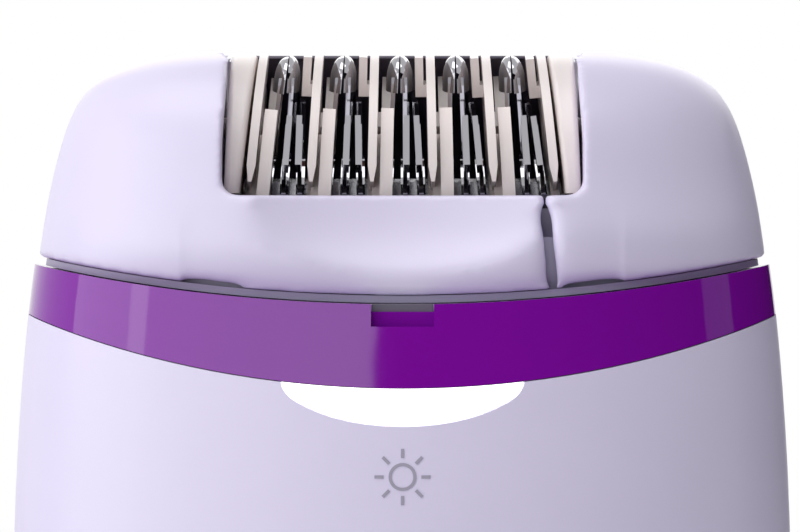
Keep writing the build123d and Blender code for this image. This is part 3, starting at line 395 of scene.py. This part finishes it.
class EPILATOR_OT_switch_marks(bpy.types.Operator):
    """Prints 0, I and II beside the slide switch"""

    bl_idname = "epilator.switch_marks"
    bl_label = "Print the switch marks"

    def execute(self, context):
        low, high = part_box("slider_knob")
        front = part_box("front_shell")[0][1] - DRAW_GAP * MM
        rest = (low[2] + high[2]) / 2
        pieces = []
        for k, sign in enumerate(("0", "I", "II")):
            deselect()
            place = (high[0] + SIGN_GAP * MM, front, rest + SIGN_PITCH * k * MM)
            bpy.ops.object.text_add(location=place, rotation=(math.pi / 2, 0, 0))
            text = context.object
            text.data.body = sign
            text.data.size = SIGN_SIZE * MM
            text.data.align_x = "CENTER"
            text.data.align_y = "CENTER"
            bpy.ops.object.convert(target="MESH")
            pieces.append(context.object)
        print_on(join(pieces, "switch_marks"), NODES["front_shell"], ink_finish())
        return {"FINISHED"}


class EPILATOR_OT_finish_parts(bpy.types.Operator):
    """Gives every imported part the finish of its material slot"""

    bl_idname = "epilator.finish_parts"
    bl_label = "Finish the parts"

    def execute(self, context):
        strength = context.scene.epilator_looks.lamp_strength
        for part in frame["record"]["subparts"]:
            slot = part["material_slot"]
            if slot == "lens_plastic":
                look = glowing_lens("lit_acrylic", "#FFFDFF", strength)
            else:
                look = finish(slot)
            paint(NODES[part["node"]], look)
        return {"FINISHED"}


class EPILATOR_OT_soften_head(bpy.types.Operator):
    """Stands softened copies in for the head's shells, with every moulded edge rounded"""

    bl_idname = "epilator.soften_head"
    bl_label = "Soften the head's edges"

    def execute(self, context):
        # A shell's loose triangles are merged first, so that the remesh sees one closed skin.
        for name in ("head_housing", "head_side_cover"):
            node = NODES[name]
            deselect()
            shell = node.copy()
            shell.data = node.data.copy()
            shell.name = name + "_moulding"
            context.collection.objects.link(shell)
            shell.select_set(True)
            context.view_layer.objects.active = shell
            bpy.ops.object.mode_set(mode="EDIT")
            bpy.ops.mesh.select_all(action="SELECT")
            bpy.ops.mesh.remove_doubles(threshold=0.001 * MM)
            bpy.ops.object.mode_set(mode="OBJECT")
            skin = shell.modifiers.new("skin", "REMESH")
            skin.mode = "VOXEL"
            skin.voxel_size = VOXEL * MM
            bpy.ops.object.modifier_apply(modifier="skin")
            self.ease(shell, EASE_STEPS)
            rim = shell.vertex_groups.new(name="scoop_rim")
            low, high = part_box(name)
            near = [v.index for v in shell.data.vertices if self.on_scoop(v.co, low, high)]
            rim.add(near, 1.0, "REPLACE")
            self.ease(shell, SCOOP_STEPS, "scoop_rim")
            bpy.ops.object.shade_smooth()
            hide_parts(name)
            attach(shell, "head")
        return {"FINISHED"}

    def ease(self, shell, steps, group=""):
        """Smooths a shell, or only a group of its vertices."""
        smooth = shell.modifiers.new("ease", "SMOOTH")
        smooth.factor = 0.5
        smooth.iterations = steps
        smooth.vertex_group = group
        bpy.ops.object.modifier_apply(modifier="ease")

    def on_scoop(self, point, low, high):
        """Whether a point is on the outside below the window, where the scoop's rim runs."""
        below = high[2] - point.z
        depth = min(point.y - low[1], high[1] - point.y)
        in_height = SCOOP_TOP * MM < below < SCOOP_FOOT * MM
        return abs(point.x) < SCOOP_HALF * MM and in_height and depth < SCOOP_SKIN * MM


class EPILATOR_OT_catch_shade_pocket(bpy.types.Operator):
    """Lines the catch slot at the top of the band with a dark pocket, painted shade that makes the slot read
    as deep
    """

    bl_idname = "epilator.catch_pocket"
    bl_label = "Line the catch slot"

    def execute(self, context):
        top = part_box("front_shell")[1][2] - POCKET_DROP * MM
        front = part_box("collar_band")[0][1] + POCKET_BACK * MM
        deselect()
        bpy.ops.mesh.primitive_cube_add(size=1, location=(0, front, top - POCKET_HEIGHT * MM / 2))
        pocket = context.object
        pocket.name = "catch_pocket"
        pocket.scale = (POCKET_WIDTH * MM, POCKET_WALL * MM, POCKET_HEIGHT * MM)
        bpy.ops.object.transform_apply(location=True, rotation=True, scale=True)
        bpy.ops.object.mode_set(mode="EDIT")
        bpy.ops.mesh.select_all(action="SELECT")
        bpy.ops.mesh.bevel(offset=POCKET_EDGE * MM, segments=2, affect="EDGES")
        bpy.ops.object.mode_set(mode="OBJECT")
        # the pocket's dark colour is painted shade inside the catch slot
        paint(pocket, finish("guard"))
        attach(pocket, "handle")
        return {"FINISHED"}


class EPILATOR_OT_rotor_shade_guard(bpy.types.Operator):
    """Closes the back of the disc window with a thin guard curved round the rotor, dark as painted shade in
    the gaps between the discs
    """

    bl_idname = "epilator.rotor_guard"
    bl_label = "Add the rotor guard"

    def execute(self, context):
        low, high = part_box("rotor_shaft")
        axle = (low[2] + high[2]) / 2
        deselect()
        bpy.ops.mesh.primitive_cylinder_add(
            vertices=180,
            radius=GUARD_RADIUS * MM,
            depth=2 * GUARD_HALF * MM,
            end_fill_type="NOTHING",
            location=(0, 0, axle),
            rotation=(0, math.pi / 2, 0),
        )
        guard = context.object
        guard.name = "rotor_guard"
        bpy.ops.object.transform_apply(location=True, rotation=True, scale=True)
        bpy.ops.object.mode_set(mode="EDIT")
        bpy.ops.mesh.select_all(action="SELECT")
        bpy.ops.mesh.bisect(plane_co=(0, GUARD_FRONT * MM, 0), plane_no=(0, 1, 0), clear_inner=True)
        bpy.ops.mesh.select_all(action="SELECT")
        foot = axle - GUARD_DROP * MM
        bpy.ops.mesh.bisect(plane_co=(0, 0, foot), plane_no=(0, 0, 1), clear_inner=True)
        bpy.ops.object.mode_set(mode="OBJECT")
        wall = guard.modifiers.new("wall", "SOLIDIFY")
        wall.thickness = GUARD_WALL * MM
        wall.offset = -1
        bpy.ops.object.modifier_apply(modifier="wall")
        edge = guard.modifiers.new("edge", "BEVEL")
        edge.width = GUARD_EDGE * MM
        edge.segments = 2
        edge.limit_method = "ANGLE"
        bpy.ops.object.modifier_apply(modifier="edge")
        bpy.ops.object.shade_smooth_by_angle(angle=math.radians(35))
        # the guard's dark colour is painted shade that makes the gaps between the discs read as deep
        paint(guard, finish("guard"))
        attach(guard, "head")
        return {"FINISHED"}


class EPILATOR_OT_stage(bpy.types.Operator):
    """Sets up the floor, the studio light and the camera"""

    bl_idname = "epilator.stage"
    bl_label = "Set the stage"

    def execute(self, context):
        scene = context.scene
        deselect()
        bpy.ops.mesh.primitive_plane_add(size=FLOOR_SIDE)
        floor = context.object
        floor.name = "floor"
        # emulsion paint: pale and matt, so that it takes the shadow and no reflection
        paint(floor, moulded("pale_floor_paint", "#F4F3F5", 0.6, 1.0, 0.01))
        for name, place, aim, size, radiance in LAMPS:
            bpy.ops.object.light_add(type="AREA", location=place)
            lamp = context.object
            lamp.name = name
            lamp.data.shape = "RECTANGLE"
            lamp.data.size, lamp.data.size_y = size
            lamp.data.energy = radiance * math.pi * size[0] * size[1]
            lamp.rotation_euler = (Vector(aim) - Vector(place)).to_track_quat("-Z", "Y").to_euler()
        self.hang_flags()
        self.light_world(scene)
        bpy.ops.object.camera_add(location=CAMERA_PLACE, rotation=(math.pi / 2, 0, 0))
        camera = context.object
        camera.data.sensor_width = SENSOR
        camera.data.lens = SENSOR * -CAMERA_PLACE[1] / SEEN_WIDTH
        camera.data.clip_end = 20
        scene.camera = camera
        scene.view_settings.view_transform = "Standard"
        return {"FINISHED"}

    def hang_flags(self):
        """Black studio cards on the right that gloss and metal reflect and the camera sees through."""
        felt = self.black_felt()
        for name, place, turn, size in FLAGS:
            bpy.ops.mesh.primitive_plane_add(size=1, location=place, rotation=(math.pi / 2, 0, turn))
            card = bpy.context.object
            card.name = name
            card.scale = (*size, 1)
            paint(card, felt)

    def black_felt(self):
        """Matt black felt that the camera sees through, so it is there for light and reflections only."""
        material = bpy.data.materials.new("black_felt")
        material.use_nodes = True
        tree = material.node_tree
        tree.nodes.clear()
        seen = add_node(tree, "ShaderNodeLightPath").outputs["Is Camera Ray"]
        felt = add_node(tree, "ShaderNodeBsdfDiffuse", Color=linear("#202022"))
        clear = add_node(tree, "ShaderNodeBsdfTransparent")
        links = [(seen, "Fac"), (felt.outputs[0], 1), (clear.outputs[0], 2)]
        mix = add_node(tree, "ShaderNodeMixShader", links)
        add_node(tree, "ShaderNodeOutputMaterial", [(mix.outputs[0], "Surface")])
        return material

    def light_world(self, scene):
        """A white backdrop for what the camera and reflections see, and a dimmer even fill light."""
        world = scene.world or bpy.data.worlds.new("studio")
        scene.world = world
        world.use_nodes = True
        tree = world.node_tree
        tree.nodes.clear()
        path = add_node(tree, "ShaderNodeLightPath")
        seen = path.outputs["Is Camera Ray"]
        for ray in ("Is Glossy Ray", "Is Transmission Ray"):
            links = [(seen, 0), (path.outputs[ray], 1)]
            seen = add_node(tree, "ShaderNodeMath", links, operation="MAXIMUM").outputs[0]
        fill = add_node(tree, "ShaderNodeBackground", Color=(0.95, 0.95, 1, 1), Strength=FILL_STRENGTH)
        white = add_node(tree, "ShaderNodeBackground", Color=(1, 1, 1, 1), Strength=WHITE_STRENGTH)
        links = [(seen, "Fac"), (fill.outputs[0], 1), (white.outputs[0], 2)]
        mix = add_node(tree, "ShaderNodeMixShader", links)
        add_node(tree, "ShaderNodeOutputWorld", [(mix.outputs[0], "Surface")])


class EPILATOR_PT_looks(bpy.types.Panel):
    """The settings and steps of the epilator's looks"""

    bl_label = "Epilator"
    bl_idname = "EPILATOR_PT_looks"
    bl_space_type = "VIEW_3D"
    bl_region_type = "UI"
    bl_category = "Epilator"

    def draw(self, context):
        looks = context.scene.epilator_looks
        for name in ("shell_colour", "lamp_strength", "mark_size"):
            self.layout.prop(looks, name)
        for step in STEPS:
            self.layout.operator(step.bl_idname)


STEPS = (
    EPILATOR_OT_finish_parts,
    EPILATOR_OT_soften_head,
    EPILATOR_OT_rotor_shade_guard,
    EPILATOR_OT_catch_shade_pocket,
    EPILATOR_OT_sun_mark,
    EPILATOR_OT_switch_marks,
    EPILATOR_OT_stage,
)
CLASSES = (EpilatorLooks, *STEPS, EPILATOR_PT_looks)


def register():
    for cls in CLASSES:
        bpy.utils.register_class(cls)
    bpy.types.Scene.epilator_looks = bpy.props.PointerProperty(type=EpilatorLooks)


def unregister():
    del bpy.types.Scene.epilator_looks
    for cls in reversed(CLASSES):
        bpy.utils.unregister_class(cls)


def main():
    register()
    bpy.ops.epilator.finish_parts()
    bpy.ops.epilator.soften_head()
    bpy.ops.epilator.rotor_guard()
    bpy.ops.epilator.catch_pocket()
    bpy.ops.epilator.sun_mark()
    bpy.ops.epilator.switch_marks()
    bpy.ops.epilator.stage()


if __name__ == "__main__":
    main()
